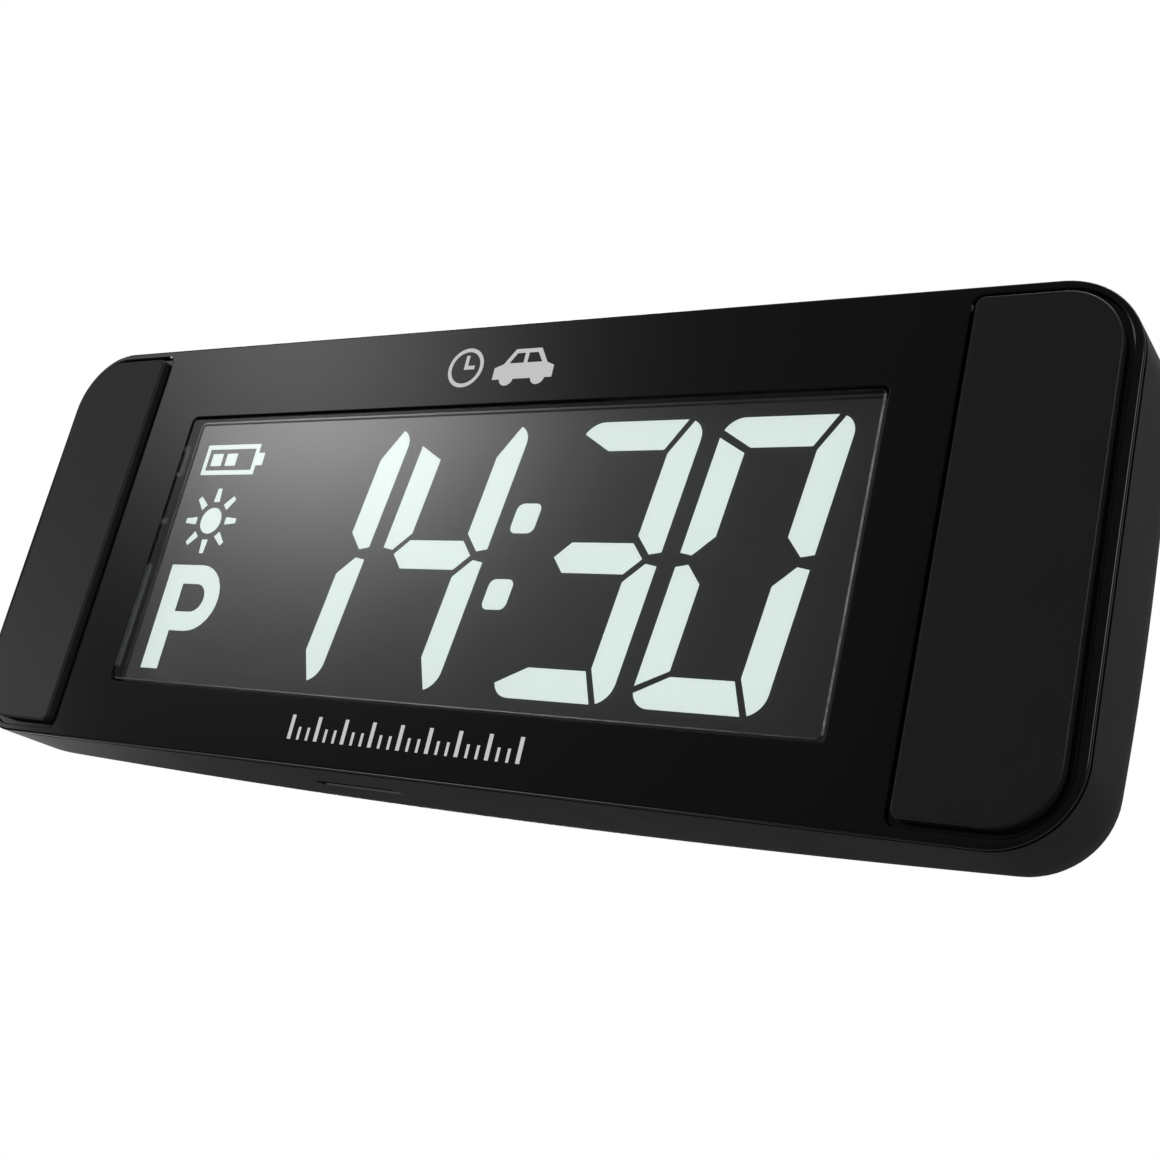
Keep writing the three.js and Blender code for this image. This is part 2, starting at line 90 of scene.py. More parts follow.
DOOR_LOW, DOOR_HIGH = mm_box("battery_door")
DOOR_X = (DOOR_LOW.x + DOOR_HIGH.x) / 2
DOOR_HALF_X = (DOOR_HIGH.x - DOOR_LOW.x) / 2
DOOR_HALF_Z = -DOOR_LOW.z
DOOR_CORNER = 2
DOOR_THICKNESS = 1.4

BUTTON_RADIUS = 3.2
BUTTON_GAP = 0.2
SCREW_SEAT_Y = 10.3

ROUND_STEPS = 16  # segments in a quarter turn
SHARP_ANGLE = math.radians(28)  # smooth shading stops at edges sharper than this
REACH = 1  # how far a cutter reaches past what it cuts
ABOVE = 0.01  # a hair above a surface
OVERLAP = 0.02  # how far a piece reaches into its neighbour


def dome_y(x, z):
    """The depth of the bowed back at a place."""
    return DOME_APEX - x * x / (2 * DOME_RADIUS_X) - z * z / (2 * DOME_RADIUS_Z)


def below_back(drop):
    """A depth that follows the bowed back, a drop below it."""
    return lambda x, z: dome_y(x, z) - drop


# ---- Camera, world, lights and floor ----

CAMERA_AT = Vector((74.99, -86.45, -35.0))
CAMERA_AZIMUTH = math.radians(35.739)
CAMERA_ELEVATION = math.radians(-16.7)
CAMERA_ROLL = math.radians(13.396)
CAMERA_LENS = 49.71


def make_camera():
    forward = Vector((
        -math.sin(CAMERA_AZIMUTH) * math.cos(CAMERA_ELEVATION),
        math.cos(CAMERA_AZIMUTH) * math.cos(CAMERA_ELEVATION),
        -math.sin(CAMERA_ELEVATION),
    ))
    right = forward.cross(Vector((0, 0, 1))).normalized()
    up = right.cross(forward)
    right, up = (
        math.cos(CAMERA_ROLL) * right + math.sin(CAMERA_ROLL) * up,
        math.cos(CAMERA_ROLL) * up - math.sin(CAMERA_ROLL) * right,
    )
    data = bpy.data.cameras.new("camera")
    data.lens = CAMERA_LENS
    data.sensor_width = 36
    data.clip_start = 0.001
    camera = bpy.data.objects.new("camera", data)
    turn = Matrix((right, up, -forward)).transposed().to_4x4()
    camera.matrix_world = Matrix.Translation(CAMERA_AT * MM) @ turn
    SCENE.collection.objects.link(camera)
    SCENE.camera = camera


# Soft studio lights far from the object: direction, half-width in degrees and strength.
STUDIO_LOBES = (
    ((-0.684, -0.622, 0.381), 4.7, 1.55),
    ((-0.69, -0.64, 0.32), 12.0, 0.10),
    ((-0.855, -0.508, 0.085), 2.3, 13.0),
    ((-0.89, 0.44, -0.10), 5.0, 9.0),
    ((-0.56, 0.79, 0.25), 8.0, 0.8),
    ((-0.62, -0.14, -0.775), 6.5, 3.5),
    ((0.885, -0.305, 0.356), 7.0, 4.0),
    ((0.0, 0.25, 0.97), 28.0, 0.4),
    ((0.3, 0.9, -0.3), 25.0, 0.05),
)
STUDIO_AMBIENT = 0.066


def make_world():
    """A dark studio with soft lights that only lights and reflections see, behind a white backdrop."""
    world = bpy.data.worlds.new("studio")
    SCENE.world = world
    world.use_nodes = True
    tree = world.node_tree
    tree.nodes.clear()
    coordinates = tree.nodes.new("ShaderNodeTexCoord")
    total = None
    for direction, width, strength in STUDIO_LOBES:
        dot = tree.nodes.new("ShaderNodeVectorMath")
        dot.operation = "DOT_PRODUCT"
        tree.links.new(coordinates.outputs["Generated"], dot.inputs[0])
        dot.inputs[1].default_value = Vector(direction).normalized()
        # A bell curve of the angle a: exp(-a^2 / 2w^2), with a^2 close to 2 - 2cos(a).
        fall = math_node(tree, "MULTIPLY_ADD", dot.outputs["Value"], 1 / math.radians(width) ** 2)
        fall.inputs[2].default_value = -1 / math.radians(width) ** 2
        bell = math_node(tree, "EXPONENT", fall.outputs[0])
        lobe = math_node(tree, "MULTIPLY_ADD", bell.outputs[0], strength)
        if total is None:
            lobe.inputs[2].default_value = STUDIO_AMBIENT
        else:
            tree.links.new(total, lobe.inputs[2])
        total = lobe.outputs[0]
    studio = tree.nodes.new("ShaderNodeBackground")
    tree.links.new(total, studio.inputs["Strength"])
    studio.inputs["Color"].default_value = (1, 1, 1, 1)
    backdrop = tree.nodes.new("ShaderNodeBackground")
    backdrop.inputs["Color"].default_value = (1, 1, 1, 1)
    path = tree.nodes.new("ShaderNodeLightPath")
    mix = tree.nodes.new("ShaderNodeMixShader")
    tree.links.new(path.outputs["Is Camera Ray"], mix.inputs[0])
    tree.links.new(studio.outputs[0], mix.inputs[1])
    tree.links.new(backdrop.outputs[0], mix.inputs[2])
    output = tree.nodes.new("ShaderNodeOutputWorld")
    tree.links.new(mix.outputs[0], output.inputs[0])
    SCENE.view_settings.view_transform = "Standard"


def math_node(tree, operation, first, second=None):
    node = tree.nodes.new("ShaderNodeMath")
    node.operation = operation
    for socket, value in zip(node.inputs, (first, second)):
        if isinstance(value, (int, float)):
            socket.default_value = value
        elif value is not None:
            tree.links.new(value, socket)
    return node


def make_light(name, at, watts):
    """A round soft light aimed at the object, placed in metres."""
    data = bpy.data.lights.new(name, "AREA")
    data.shape = "DISK"
    data.size = 0.9
    data.energy = watts
    light = bpy.data.objects.new(name, data)
    light.location = at
    light.rotation_euler = (-Vector(at)).to_track_quat("-Z", "Y").to_euler()
    light.visible_camera = False
    SCENE.collection.objects.link(light)


def make_stage():
    """A pale floor that only the camera sees, and a light above and one behind."""
    radius, level = 1.2, -0.42  # in metres
    rim = [(x, y, level) for x, y in circle(radius, steps=96)]
    mesh = bpy.data.meshes.new("floor")
    mesh.from_pydata(rim, [], [range(len(rim))])
    glow = {"Emission_Color": (1, 1, 1, 1), "Emission_Strength": 0.55}
    mesh.materials.append(principled("floor_paint", (0.85, 0.85, 0.85), 0.9, **glow)[0])
    floor = bpy.data.objects.new("floor", mesh)
    SCENE.collection.objects.link(floor)
    floor.visible_glossy = False
    floor.visible_diffuse = False
    make_light("top_light", (0.1, 0.5, 1.2), 6.0)
    make_light("rear_light", (-0.75, 0.95, 0.45), 22.0)


# ---- Meshes ----


def outline(half_x, half_z, corner, x=0, z=0, steps=ROUND_STEPS, side_x=1, side_z=1):
    """A rounded rectangle in the XZ plane, anticlockwise from the front, its sides cut in equal steps."""
    corner = max(corner, 0.01)
    centres = [(half_x - corner, corner - half_z), (half_x - corner, half_z - corner),
               (corner - half_x, half_z - corner), (corner - half_x, corner - half_z)]
    points = []
    for quarter, (cx, cz) in enumerate(centres):
        for i in range(steps + 1):
            angle = (quarter - 1 + i / steps) * math.pi / 2
            points.append((x + cx + corner * math.cos(angle), z + cz + corner * math.sin(angle)))
        nx, nz = centres[(quarter + 1) % 4]
        end = quarter * math.pi / 2
        target = (x + nx + corner * math.cos(end), z + nz + corner * math.sin(end))
        start = points[-1]
        cuts = side_z if quarter % 2 == 0 else side_x
        for i in range(1, cuts):
            share = i / cuts
            points.append(tuple(s + (t - s) * share for s, t in zip(start, target)))
    return points


def circle(radius, x=0, z=0, steps=48):
    angles = [2 * math.pi * i / steps for i in range(steps)]
    return [(x + radius * math.cos(a), z + radius * math.sin(a)) for a in angles]


def rectangle(left, bottom, right, top):
    return [(left, bottom), (right, bottom), (right, top), (left, top)]


def at_depth(points, depth):
    """A ring of 3-D points from an outline, at one depth or at a depth that depends on the place."""
    return [(x, depth(x, z) if callable(depth) else depth, z) for x, z in points]


def quarter_round(radius, steps=5):
    """(inset, drop) pairs of a rounded edge, from the wall's end of it to the face's end."""
    angles = [i / steps * math.pi / 2 for i in range(steps + 1)]
    return [(radius * (1 - math.cos(a)), radius * (1 - math.sin(a))) for a in angles]


def new_piece(name, mesh):
    piece = bpy.data.objects.new(name, mesh)
    SCENE.collection.objects.link(piece)
    return piece


def mesh_of(name, vertices, faces):
    """A mesh in metres with merged points and its faces turned outwards."""
    mesh = bpy.data.meshes.new(name)
    made = bmesh.new()
    corners = [made.verts.new(Vector(v) * MM) for v in vertices]
    for face in faces:
        made.faces.new([corners[i] for i in face])
    bmesh.ops.remove_doubles(made, verts=made.verts, dist=1e-8)
    bmesh.ops.recalc_face_normals(made, faces=made.faces)
    made.to_mesh(mesh)
    made.free()
    return mesh


def loft(name, rings, tip_start=None, tip_end=None):
    """A closed mesh through rings of equal length. Each end is a flat face, or a fan to its tip."""
    count = len(rings[0])
    vertices = [point for ring in rings for point in ring]
    faces = []
    for i in range(len(rings) - 1):
        for j in range(count):
            k = (j + 1) % count
            faces.append((i * count + j, i * count + k, (i + 1) * count + k, (i + 1) * count + j))
    for tip, first in ((tip_start, 0), (tip_end, (len(rings) - 1) * count)):
        ring = range(first, first + count)
        if tip is None:
            faces.append(tuple(ring))
        else:
            vertices.append(tip)
            centre = len(vertices) - 1
            faces.extend((first + j, first + (j + 1) % count, centre) for j in range(count))
    return new_piece(name, mesh_of(name, vertices, faces))


def lathe(name, profile, x, z, steps=64):
    """A solid of revolution about a line along Y. Its (radius, depth) pairs start and end on the axis."""
    rings = [at_depth(circle(radius, x, z, steps), depth) for radius, depth in profile[1:-1]]
    return loft(name, rings, (x, profile[0][1], z), (x, profile[-1][1], z))


def prism(name, points, low, high):
    return loft(name, [at_depth(points, low), at_depth(points, high)])


def box_piece(name, low, high):
    return prism(name, rectangle(low[0], low[2], high[0], high[2]), low[1], high[1])


def combine(piece, tools, operation="DIFFERENCE"):
    """Cuts tools out of a piece, or joins them to it, and removes them."""
    for tool in tools:
        modifier = piece.modifiers.new("combine", "BOOLEAN")
        modifier.operation = operation
        modifier.solver = "MANIFOLD"
        modifier.object = tool
    settle(piece)
    for tool in tools:
        bpy.data.objects.remove(tool)
    return piece


def settle(piece):
    """Turns what a piece's modifiers make into its mesh."""
    bpy.context.view_layer.update()
    shown = piece.evaluated_get(bpy.context.evaluated_depsgraph_get())
    made = bpy.data.meshes.new_from_object(shown)
    piece.modifiers.clear()
    piece.data = made


def shade_smooth(mesh):
    mesh.polygons.foreach_set("use_smooth", [True] * len(mesh.polygons))
    mesh.set_sharp_from_angle(angle=SHARP_ANGLE)


def smooth(piece):
    """Smooth shading that leaves large flat faces flat."""
    shade_smooth(piece.data)
    weigh = piece.modifiers.new("even_normals", "WEIGHTED_NORMAL")
    weigh.keep_sharp = True
    weigh.weight = 80
    return piece


def smooth_bowed(piece):
    """Smooth shading with exact normals on the bowed back, so that the cuts in it don't dent its shading."""
    mesh = piece.data
    shade_smooth(mesh)
    normals = []
    for polygon in mesh.polygons:
        for index in polygon.vertices:
            x, y, z = mesh.vertices[index].co / MM
            exact = Vector((x / DOME_RADIUS_X, 1, z / DOME_RADIUS_Z)).normalized()
            on_back = abs(y - dome_y(x, z)) < ABOVE and polygon.normal.dot(exact) > 0.995
            normals.append(exact if on_back else Vector((0, 0, 0)))
    mesh.normals_split_custom_set(normals)
    return piece


def dress(piece, material, body="case", stands_for=()):
    """Gives a finished piece its material and its place in the object."""
    if material is not None:
        piece.data.materials.clear()
        piece.data.materials.append(material)
    if stands_for:
        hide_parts(*stands_for)
    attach(piece, body)


# ---- Materials ----


def principled(name, color, roughness, **sockets):
    """A material with one Principled shader, and its tree and shader for patterns to be added."""
    material = bpy.data.materials.new(name)
    material.use_nodes = True
    shader = material.node_tree.nodes["Principled BSDF"]
    shader.inputs["Base Color"].default_value = (*color, 1)
    shader.inputs["Roughness"].default_value = roughness
    for label, value in sockets.items():
        shader.inputs[label.replace("_", " ")].default_value = value
    return material, material.node_tree, shader


def noise(tree, scale, detail):
    """Noise in the piece's own coordinates, with its scale in waves per millimetre."""
    coordinates = tree.nodes.new("ShaderNodeTexCoord")
    texture = tree.nodes.new("ShaderNodeTexNoise")
    texture.inputs["Scale"].default_value = scale / MM
    texture.inputs["Detail"].default_value = detail
    tree.links.new(coordinates.outputs["Object"], texture.inputs["Vector"])
    return texture.outputs["Fac"]


def vary_roughness(tree, shader, factor, other):
    """Lets the roughness drift from the shader's own to another, with a factor from 0 to 1."""
    roughness = shader.inputs["Roughness"]
    node = tree.nodes.new("ShaderNodeMapRange")
    tree.links.new(factor, node.inputs["Value"])
    node.inputs["To Min"].default_value = roughness.default_value
    node.inputs["To Max"].default_value = other
    tree.links.new(node.outputs["Result"], roughness)


def vary_color(tree, shader, factor, other):
    """Lets the colour drift from the shader's own to another, with a factor from 0 to 1."""
    color = shader.inputs["Base Color"]
    node = tree.nodes.new("ShaderNodeMix")
    node.data_type = "RGBA"
    tree.links.new(factor, node.inputs["Factor"])
    node.inputs[6].default_value = color.default_value
    node.inputs[7].default_value = (*other, 1)
    tree.links.new(node.outputs[2], color)


def add_bump(tree, shader, height, depth):
    """Relief of that depth in millimetres."""
    bump = tree.nodes.new("ShaderNodeBump")
    bump.inputs["Distance"].default_value = depth * MM
    tree.links.new(height, bump.inputs["Height"])
    tree.links.new(bump.outputs["Normal"], shader.inputs["Normal"])


def gloss_black():
    """Moulded gloss plastic, a little hazier in places."""
    material, tree, shader = principled("gloss_black", (0.011, 0.011, 0.0112), 0.05, IOR=1.5)
    vary_roughness(tree, shader, noise(tree, 0.12, 4), 0.11)
    return material


def satin_black(name="satin_black", color=(0.009, 0.009, 0.0093), roughness=(0.34, 0.44)):
    """Spark-eroded plastic: a fine even grain with faint larger unevenness."""
    material, tree, shader = principled(name, color, roughness[0], IOR=1.48)
    cloud = noise(tree, 0.15, 3)
    vary_color(tree, shader, cloud, [c * 1.5 for c in color])
    vary_roughness(tree, shader, cloud, roughness[1])
    add_bump(tree, shader, noise(tree, 9, 2), 0.006)
    return material


def inner_plastic():
    return satin_black("inner_black", (0.010, 0.010, 0.0105), (0.5, 0.62))


def chip_black():
    return satin_black("chip_black", (0.012, 0.012, 0.012), (0.45, 0.6))


def pad_rubber():
    material, tree, shader = principled("pad_rubber", (0.038, 0.038, 0.0385), 0.38, IOR=1.45)
    cloud = noise(tree, 0.2, 4)
    vary_color(tree, shader, cloud, (0.048, 0.048, 0.0485))
    vary_roughness(tree, shader, cloud, 0.44)
    add_bump(tree, shader, noise(tree, 12, 3), 0.004)
    return material


def clear_mirror(name, mirror_index, roughness):
    """A clear layer that mirrors at its front by the Fresnel law and doesn't bend what is behind it."""
    material = bpy.data.materials.new(name)
    material.use_nodes = True
    tree = material.node_tree
    tree.nodes.clear()
    clear = tree.nodes.new("ShaderNodeBsdfTransparent")
    clear.inputs["Color"].default_value = (0.98, 0.98, 0.98, 1)
    mirror = tree.nodes.new("ShaderNodeBsdfGlossy")
    mirror.inputs["Roughness"].default_value = roughness
    fresnel = tree.nodes.new("ShaderNodeFresnel")
    fresnel.inputs["IOR"].default_value = mirror_index
    mix = tree.nodes.new("ShaderNodeMixShader")
    geometry = tree.nodes.new("ShaderNodeNewGeometry")
    front = math_node(tree, "SUBTRACT", 1.0, geometry.outputs["Backfacing"])
    share = math_node(tree, "MULTIPLY", fresnel.outputs[0], front.outputs[0])
    tree.links.new(share.outputs[0], mix.inputs[0])
    tree.links.new(clear.outputs[0], mix.inputs[1])
    tree.links.new(mirror.outputs[0], mix.inputs[2])
    output = tree.nodes.new("ShaderNodeOutputMaterial")
    tree.links.new(mix.outputs[0], output.inputs[0])
    return material


def lens_edge():
    """The lens's polished bevel, slightly wavy, which catches the studio lights as a thin line of glints; its
    base colour turns a lighter grey on the wave crests, a painted sparkle.
    """
    material, tree, shader = principled("lens_edge", (0.03, 0.03, 0.03), 0.16, IOR=1.6)
    waves = noise(tree, 0.9, 3)
    # Painted highlight: the bevel turns a lighter grey where the waves rise, as sparkle along its edge.
    vary_color(tree, shader, waves, (0.10, 0.10, 0.10))
    add_bump(tree, shader, waves, 0.05)
    return material


def display_glass():
    """The display's dark field, slightly uneven."""
    material, tree, shader = principled("display_field", (0.030, 0.031, 0.031), 0.25, IOR=1.35)
    haze = noise(tree, 0.25, 3)
    vary_color(tree, shader, haze, (0.036, 0.037, 0.037))
    vary_roughness(tree, shader, haze, 0.35)
    return material


def segment_material(name, color, other, roughness, **sockets):
    """A display segment's finish, with a fine drift between two colours."""
    material, tree, shader = principled(name, color, roughness, **sockets)
    vary_color(tree, shader, noise(tree, 3, 2), other)
    return material


def lit_segment():
    # Painted light: the switched-on segments and symbols glow by emission, though nothing behind them is a
    # lamp.
    glow = {"Emission_Color": (0.72, 0.83, 0.79, 1), "Emission_Strength": 1.15}
    return segment_material("lit_segment", (0.66, 0.78, 0.74), (0.72, 0.81, 0.785), 0.5, **glow)


def ghost_segment():
    return segment_material("unlit_segment", (0.037, 0.038, 0.038), (0.043, 0.044, 0.044), 0.3, IOR=1.35)


def segment_halo():
    return segment_material("segment_halo", (0.037, 0.050, 0.047), (0.043, 0.056, 0.053), 0.3, IOR=1.35)


def face_print():
    # Painted light: the print glows by emission, though ink is no lamp.
    glow = {"Emission_Color": (0.8, 0.8, 0.8, 1), "Emission_Strength": 0.55}
    material, tree, shader = principled("face_print", (0.52, 0.52, 0.51), 0.45, **glow)
    vary_color(tree, shader, noise(tree, 6, 3), (0.70, 0.70, 0.69))
    return material


def worn_metal(name, color, other, roughness, detail_scale, metallic):
    """Metal whose colour and roughness drift together."""
    material, tree, shader = principled(name, color, roughness[0], Metallic=metallic)
    wear = noise(tree, detail_scale, 5)
    vary_color(tree, shader, wear, other)
    vary_roughness(tree, shader, wear, roughness[1])
    return material


def nickel():
    return worn_metal("nickel_plate", (0.58, 0.56, 0.52), (0.74, 0.72, 0.68), (0.16, 0.34), 1.2, 1.0)


def black_steel():
    return worn_metal("black_steel", (0.06, 0.06, 0.063), (0.17, 0.17, 0.175), (0.25, 0.48), 2.5, 0.9)


def solder_mask():
    """Green lacquer, a little lighter over the copper tracks."""
    lacquer = (0.010, 0.060, 0.026)
    material, tree, shader = principled("solder_mask", lacquer, 0.32)
    coordinates = tree.nodes.new("ShaderNodeTexCoord")
    tracks = tree.nodes.new("ShaderNodeTexBrick")
    tracks.inputs["Scale"].default_value = 0.5 / MM
    tracks.inputs["Mortar Size"].default_value = 0.03
    tracks.inputs["Color1"].default_value = (*lacquer, 1)
    tracks.inputs["Color2"].default_value = (0.016, 0.085, 0.036, 1)
    tracks.inputs["Mortar"].default_value = (0.03, 0.13, 0.06, 1)
    turned = tree.nodes.new("ShaderNodeMapping")
    turned.inputs["Rotation"].default_value = (math.pi / 2, 0, 0)
    tree.links.new(coordinates.outputs["Object"], turned.inputs["Vector"])
    tree.links.new(turned.outputs["Vector"], tracks.inputs["Vector"])
    tree.links.new(tracks.outputs["Color"], shader.inputs["Base Color"])
    return material


def reflector_white():
    material, tree, shader = principled("reflector_white", (0.76, 0.77, 0.75), 0.6)
    vary_color(tree, shader, noise(tree, 0.3, 3), (0.84, 0.85, 0.83))
    add_bump(tree, shader, noise(tree, 5, 2), 0.01)
    return material


def striped_rubber():
    """Contact rubber: thin carbon stripes across its length."""
    material, tree, shader = principled("striped_rubber", (0.02, 0.02, 0.02), 0.7)
    coordinates = tree.nodes.new("ShaderNodeTexCoord")
    stripes = tree.nodes.new("ShaderNodeTexWave")
    stripes.inputs["Scale"].default_value = 1.2 / MM
    tree.links.new(coordinates.outputs["Object"], stripes.inputs["Vector"])
    vary_color(tree, shader, stripes.outputs["Fac"], (0.25, 0.18, 0.17))
    return material


# ---- Front cover, pads and lens ----


def pad_outline(side, grow):
    """Small corners towards the display, large ones that follow the case's corners."""
    low, high = mm_box("mounting_pad_right")
    near, far = 0.6 + grow / 2, 4.1 + grow
    corners = (
        (low.x - grow, -1, near, 1), (high.x + grow, -1, far, -1),
        (high.x + grow, 1, far, -1), (low.x - grow, 1, near, 1),
    )
    points = []
    for quarter, (x, sign, radius, inward) in enumerate(corners):
        cx = x + inward * radius
        cz = sign * (high.z + grow - radius)
        for i in range(ROUND_STEPS + 1):
            angle = math.pi + (quarter + i / ROUND_STEPS) * math.pi / 2
            points.append((side * (cx + radius * math.cos(angle)), cz + radius * math.sin(angle)))
    return points if side > 0 else points[::-1]


def window_outline(grow):
    return outline(WINDOW_HALF_X + grow, WINDOW_HALF_Z + grow, WINDOW_CORNER + grow, LENS_X, LENS_Z)


def case_ring(inset, depth, **cuts):
    points = outline(CASE_HALF_X - inset, CASE_HALF_Z - inset, CASE_CORNER - inset, **cuts)
    return at_depth(points, depth)


def flared_cutter(name, shape, floor, flare):
    """A cutter from in front of the face to a floor, with a rounded mouth. shape(grow) gives its outline."""
    rings = [at_depth(shape(flare), FACE_Y - REACH), at_depth(shape(flare), FACE_Y + 0.002)]
    rounded = quarter_round(flare)[::-1]
    rings += [at_depth(shape(inset), FACE_Y + flare - drop) for drop, inset in rounded[1:]]
    rings.append(at_depth(shape(0), floor))
    return loft(name, rings)


def make_front_cover(material):
    """The cover: a thin plate with a rounded lip, a shadow line behind it and a rim that enters the shell."""
    lip, lip_end, lip_back = 0.2, FACE_Y + 0.4, 0.06
    shadow_line = 0.5
    rim_outside, rim_inside, rim_end = 1.75, 2.75, 4.5
    shoulder = SEAM_Y - OVERLAP
    plate_back = FACE_Y + 1.2
    rings = [case_ring(inset, FACE_Y + drop) for inset, drop in quarter_round(lip)[::-1]]
    rings += [
        case_ring(0, lip_end - lip_back), case_ring(lip_back, lip_end),
        case_ring(shadow_line, lip_end), case_ring(shadow_line, shoulder),
        case_ring(rim_outside, shoulder), case_ring(rim_outside, rim_end),
        case_ring(rim_inside, rim_end), case_ring(rim_inside, plate_back),
    ]
    cover = loft("cover_shell", rings)

    boss, boss_start, boss_end = 2.2, plate_back - 0.3, 6
    bore, bore_start = 1, 2.3
    profile = [(0, boss_start), (boss, boss_start), (boss, boss_end), (bore, boss_end), (bore, bore_start)]
    profile.append((0, bore_start))
    combine(cover, [lathe("boss", profile, x, z) for x, z in screw_places()], "UNION")

    cutters = []
    for side in (-1, 1):
        cutters.append(flared_cutter("recess", lambda g, s=side: pad_outline(s, PAD_GAP + g), PAD_FLOOR, 0.1))
    cutters.append(flared_cutter("window", window_outline, plate_back + REACH, 0.05))
    combine(cover, cutters)
    dress(smooth(cover), material, stands_for=["front_cover"])


def make_pad(side, name, material):
    """A pad with a rounded rim, let into its recess."""
    rounded = [at_depth(pad_outline(side, -inset), drop) for inset, drop in quarter_round(0.16)[::-1]]
    back = at_depth(pad_outline(side, 0), PAD_FLOOR - OVERLAP)
    dress(smooth(loft(name + "_skin", rounded + [back])), material, stands_for=[name])


def make_lens(clear, edge, film):
    """The lens: a plug with a fine bevel in the window, a flange behind the cover, and a film inside."""
    bevel = 0.13
    plug_end = LENS_HIGH.y - 0.37

    def ring(grow, depth):
        return at_depth(window_outline(grow), depth)

    lens = loft("window_lens", [
        ring(-LENS_GAP - bevel, FACE_Y), ring(-LENS_GAP, FACE_Y + bevel), ring(-LENS_GAP, plug_end),
        ring(LENS_FLANGE, plug_end), ring(LENS_FLANGE, LENS_HIGH.y),
    ])
    lens.data.materials.append(clear)
    lens.data.materials.append(edge)
    for face in lens.data.polygons:
        on_bevel = ABOVE < face.center.y / MM - FACE_Y < bevel - ABOVE
        face.material_index = 1 if on_bevel else 0
    lens.visible_shadow = False
    dress(lens, None, stands_for=["display_lens"])

    thickness = 0.02
    inside = prism("window_film", window_outline(-LENS_GAP - thickness), FILM_Y, FILM_Y + thickness)
    inside.visible_shadow = False
    dress(inside, film)


# ---- Rear shell ----


def screw_places():
    for name in ("left_lower", "left_upper", "right_lower", "right_upper"):
        low, high = mm_box("case_screw_" + name)
        yield (low.x + high.x) / 2, (low.z + high.z) / 2


def button_places():
    for name in ("hour", "minute", "set"):
        low, high = mm_box("button_" + name)
        yield name, (low.x + high.x) / 2, (low.z + high.z) / 2


def pillow(name, inset, drop, front):
    """The case's rear form: straight sides from the front depth, an elliptical edge and the bowed back."""
    edge_steps, dome_rings = 14, 14
    cuts = {"side_x": 36, "side_z": 12}
    rings = [case_ring(inset, front, **cuts)]
    for i in range(edge_steps + 1):
        angle = i / edge_steps * math.pi / 2
        fall = EDGE_DEPTH * (1 - math.sin(angle)) + drop
        extra = EDGE_INSET * (1 - math.cos(angle))
        rings.append(case_ring(inset + extra, below_back(fall), **cuts))
    last = rings[-1]
    for i in range(1, dome_rings):
        share = 1 - i / dome_rings
        rings.append([(x * share, dome_y(x * share, z * share) - drop, z * share) for x, _, z in last])
    return loft(name, rings, tip_end=(0, dome_y(0, 0) - drop, 0))


def rim_cutter(name, shape, floor, flare=0.16, lift=0.6):
    """A cutter through the bowed skin whose mouth rounds the rim. shape(grow) gives its outline.

    lift is how far its flat end stands clear of the back at the rim, which is more for a wide cutter.
    """
    rings = [at_depth(shape(0), floor)]
    for inset, drop in quarter_round(flare)[:-1]:
        rings.append(at_depth(shape(inset), below_back(drop)))
    rings.append(at_depth(shape(flare), below_back(-ABOVE)))
    rings.append(at_depth(shape(flare), below_back(-lift)))
    return loft(name, rings)


def door_shape(grow, grow_bottom):
    """The door's outline grown on three sides and, by its own amount, at the bottom."""
    half_z = DOOR_HALF_Z + (grow + grow_bottom) / 2
    centre_z = (grow - grow_bottom) / 2
    return outline(DOOR_HALF_X + grow, half_z, DOOR_CORNER + grow, DOOR_X, centre_z, side_x=20, side_z=8)


def make_rear_cover(material):
    """The shell: hollow, with a bay around the door, tubes around the screws, and its openings."""
    beyond = 20
    shell = pillow("rear_shell", 0, 0, SEAM_Y)
    combine(shell, [pillow("hollow", CASE_WALL, CASE_WALL, 0)])
    bay_wall, bay_front = 1.2, 9
    bay = prism("bay", door_shape(bay_wall, bay_wall), bay_front, beyond)
    tube, tube_front = 2.6, 6.05
    profile = [(0, tube_front), (tube, tube_front), (tube, beyond), (0, beyond)]
    combine(bay, [lathe("tube", profile, x, z) for x, z in screw_places()], "UNION")
    combine(bay, [pillow("inside", CASE_WALL / 2, CASE_WALL / 2, 0)], "INTERSECT")
    combine(shell, [bay], "UNION")

    gap, gap_bottom = 0.2, 0.4
    ledge = DOOR_THICKNESS + 0.05
    ledge_width = 1
    cutters = [
        rim_cutter("opening", lambda g: door_shape(gap + g, gap_bottom + g), below_back(ledge), lift=1),
        prism("well", door_shape(-ledge_width, -ledge_width), 0, beyond),
        *hook_slots(), pull_slot(), latch_notch(),
    ]
    hole, hole_floor = BUTTON_RADIUS + BUTTON_GAP, 8
    for _, x, z in button_places():
        cutters.append(rim_cutter("button_hole", lambda g, x=x, z=z: circle(hole + g, x, z, 64), hole_floor))
    bore, shank = 2.25, 1.15
    for x, z in screw_places():
        cutters.append(rim_cutter("bore", lambda g, x=x, z=z: circle(bore + g, x, z), SCREW_SEAT_Y, 0.2))
        cutters.append(lathe("shank_hole", [(0, 0), (shank, 0), (shank, beyond), (0, beyond)], x, z, 32))
    combine(shell, cutters)
    dress(smooth_bowed(shell), material, stands_for=["rear_cover"])


HOOK_OFFSET, HOOK_HALF, HOOK_CLEARANCE = 15, 3, 0.4


def hook_places():
    """Centre and lowest skin depth of each door hook."""
    for side in (-1, 1):
        x = DOOR_X + side * HOOK_OFFSET
        yield x, min(dome_y(x - HOOK_HALF, DOOR_HALF_Z), dome_y(x + HOOK_HALF, DOOR_HALF_Z))


